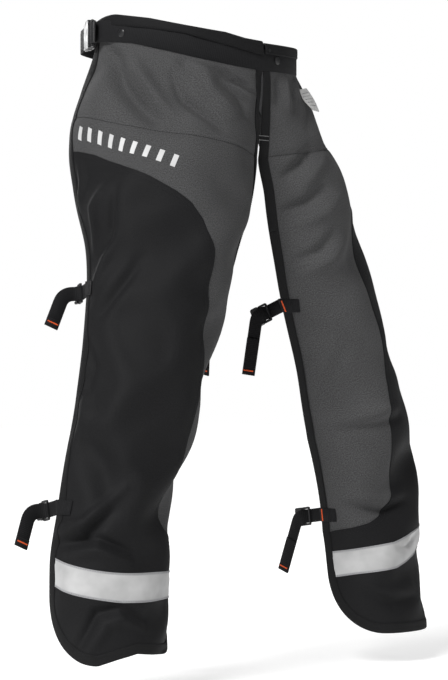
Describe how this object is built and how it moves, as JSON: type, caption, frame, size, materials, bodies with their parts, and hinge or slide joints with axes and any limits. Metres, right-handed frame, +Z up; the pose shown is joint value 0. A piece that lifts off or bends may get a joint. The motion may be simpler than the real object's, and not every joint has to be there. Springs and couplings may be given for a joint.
{
  "type": "saw-protective leg chaps",
  "caption": "Apron-style padded leg chaps with a buckled belt, dark side panels, reflective shin bands and strap-and-clip leg fasteners.",
  "frame": {"origin": "the middle of the waist ring, at about the waistband's top", "axes": "+Z up and along the longest extent; +Y from the wearer's front to back and along the shortest extent; +X towards the wearer's left"},
  "size_m": [0.945, 0.4374, 1.0988],
  "materials": {
    "grey_fabric": "dark heather-grey plain-weave nylon, matte",
    "black_fabric": "black coated woven nylon, slight sheen",
    "binding_tape": "black woven edge tape, stitched through",
    "pad": "layered protective fibre under a dark mesh lining",
    "webbing": "black ribbed polyester webbing",
    "reflective_tape": "silver reflective tape, soft gloss",
    "thread": "grey thread",
    "label": "white satin label",
    "buckle_plastic": "moulded black plastic, fine texture",
    "snap_metal": "black-coated snap fastener"
  },
  "bodies": {
    "waist": {"belt_front": "webbing", "belt_back": "webbing", "belt_slider": "buckle_plastic", "waistband_right": "black_fabric", "waistband_left": "black_fabric", "upper_panel_right": "grey_fabric", "upper_panel_left": "grey_fabric", "upper_binding_right": "binding_tape", "upper_binding_left": "binding_tape", "crotch_bartack": "thread", "snap_caps": "buckle_plastic", "snap_studs": "snap_metal", "care_label": "label", "waist_buckle_socket": "buckle_plastic"},
    "waist_clip": {"waist_buckle_clip": "buckle_plastic", "belt_loop": "webbing"},
    "waist_prong_top": {"waist_prong_top": "buckle_plastic"},
    "waist_prong_bottom": {"waist_prong_bottom": "buckle_plastic"},
    "thigh_right": {"thigh_shell_right": "grey_fabric", "thigh_pad_right": "pad", "thigh_overlay_right": "black_fabric", "thigh_binding_right": "binding_tape", "thigh_anchors_right": "webbing"},
    "shin_right": {"shin_shell_right": "grey_fabric", "shin_pad_right": "pad", "shin_overlay_right": "black_fabric", "shin_binding_right": "binding_tape", "shin_anchors_right": "webbing", "reflective_band_right": "reflective_tape"},
    "knee_inner_strap_right": {"knee_inner_strap_right": "webbing", "knee_inner_buckle_right": "buckle_plastic"},
    "knee_outer_strap_right": {"knee_outer_strap_right": "webbing", "knee_outer_buckle_right": "buckle_plastic"},
    "calf_inner_strap_right": {"calf_inner_strap_right": "webbing", "calf_inner_buckle_right": "buckle_plastic"},
    "calf_outer_strap_right": {"calf_outer_strap_right": "webbing", "calf_outer_buckle_right": "buckle_plastic"},
    "thigh_left": {"thigh_shell_left": "grey_fabric", "thigh_pad_left": "pad", "thigh_overlay_left": "black_fabric", "thigh_binding_left": "binding_tape", "thigh_anchors_left": "webbing"},
    "shin_left": {"shin_shell_left": "grey_fabric", "shin_pad_left": "pad", "shin_overlay_left": "black_fabric", "shin_binding_left": "binding_tape", "shin_anchors_left": "webbing", "reflective_band_left": "reflective_tape"},
    "knee_inner_strap_left": {"knee_inner_strap_left": "webbing", "knee_inner_buckle_left": "buckle_plastic"},
    "knee_outer_strap_left": {"knee_outer_strap_left": "webbing", "knee_outer_buckle_left": "buckle_plastic"},
    "calf_inner_strap_left": {"calf_inner_strap_left": "webbing", "calf_inner_buckle_left": "buckle_plastic"},
    "calf_outer_strap_left": {"calf_outer_strap_left": "webbing", "calf_outer_buckle_left": "buckle_plastic"}
  },
  "joints": [
    {"name": "waist_clip_slide", "type": "slide", "parent": "waist", "child": "waist_clip", "axis": [0.5489, 0.8359, 0], "range_m": [0, 0.024]},
    {"name": "waist_prong_top_flex", "type": "hinge", "parent": "waist_clip", "child": "waist_prong_top", "pos_m": [-0.1683, 0.1005, 0.0018], "axis": [0.8359, -0.5489, 0], "range_deg": [0, 8], "stiffness_Nm_per_rad": 0.2},
    {"name": "waist_prong_bottom_flex", "type": "hinge", "parent": "waist_clip", "child": "waist_prong_bottom", "pos_m": [-0.1683, 0.1005, -0.0212], "axis": [-0.8359, 0.5489, 0], "range_deg": [0, 8], "stiffness_Nm_per_rad": 0.2},
    {"name": "hip_right", "type": "hinge", "parent": "waist", "child": "thigh_right", "pos_m": [-0.1, -0.19, -0.22], "axis": [-1, 0, 0], "range_deg": [0, 50]},
    {"name": "knee_right", "type": "hinge", "parent": "thigh_right", "child": "shin_right", "pos_m": [-0.246, -0.074, -0.62], "axis": [1, 0, 0], "range_deg": [0, 60]},
    {"name": "knee_inner_strap_swing_right", "type": "hinge", "parent": "thigh_right", "child": "knee_inner_strap_right", "pos_m": [-0.0809, -0.1326, -0.49], "axis": [0, 0, -1], "range_deg": [-45, 60]},
    {"name": "knee_outer_strap_swing_right", "type": "hinge", "parent": "thigh_right", "child": "knee_outer_strap_right", "pos_m": [-0.3035, -0.0446, -0.468], "axis": [0, 0, 1], "range_deg": [-45, 60]},
    {"name": "calf_inner_strap_swing_right", "type": "hinge", "parent": "shin_right", "child": "calf_inner_strap_right", "pos_m": [-0.2164, -0.099, -0.869], "axis": [0, 0, -1], "range_deg": [-45, 60]},
    {"name": "calf_outer_strap_swing_right", "type": "hinge", "parent": "shin_right", "child": "calf_outer_strap_right", "pos_m": [-0.4091, -0.0898, -0.832], "axis": [0, 0, 1], "range_deg": [-45, 60]},
    {"name": "hip_left", "type": "hinge", "parent": "waist", "child": "thigh_left", "pos_m": [0.1, -0.19, -0.22], "axis": [-1, 0, 0], "range_deg": [0, 50]},
    {"name": "knee_left", "type": "hinge", "parent": "thigh_left", "child": "shin_left", "pos_m": [0.246, -0.074, -0.62], "axis": [1, 0, 0], "range_deg": [0, 60]},
    {"name": "knee_inner_strap_swing_left", "type": "hinge", "parent": "thigh_left", "child": "knee_inner_strap_left", "pos_m": [0.0809, -0.1326, -0.49], "axis": [0, 0, 1], "range_deg": [-45, 60]},
    {"name": "knee_outer_strap_swing_left", "type": "hinge", "parent": "thigh_left", "child": "knee_outer_strap_left", "pos_m": [0.3035, -0.0446, -0.468], "axis": [0, 0, -1], "range_deg": [-45, 60]},
    {"name": "calf_inner_strap_swing_left", "type": "hinge", "parent": "shin_left", "child": "calf_inner_strap_left", "pos_m": [0.2164, -0.099, -0.869], "axis": [0, 0, 1], "range_deg": [-45, 60]},
    {"name": "calf_outer_strap_swing_left", "type": "hinge", "parent": "shin_left", "child": "calf_outer_strap_left", "pos_m": [0.4091, -0.0898, -0.832], "axis": [0, 0, -1], "range_deg": [-45, 60]}
  ]
}
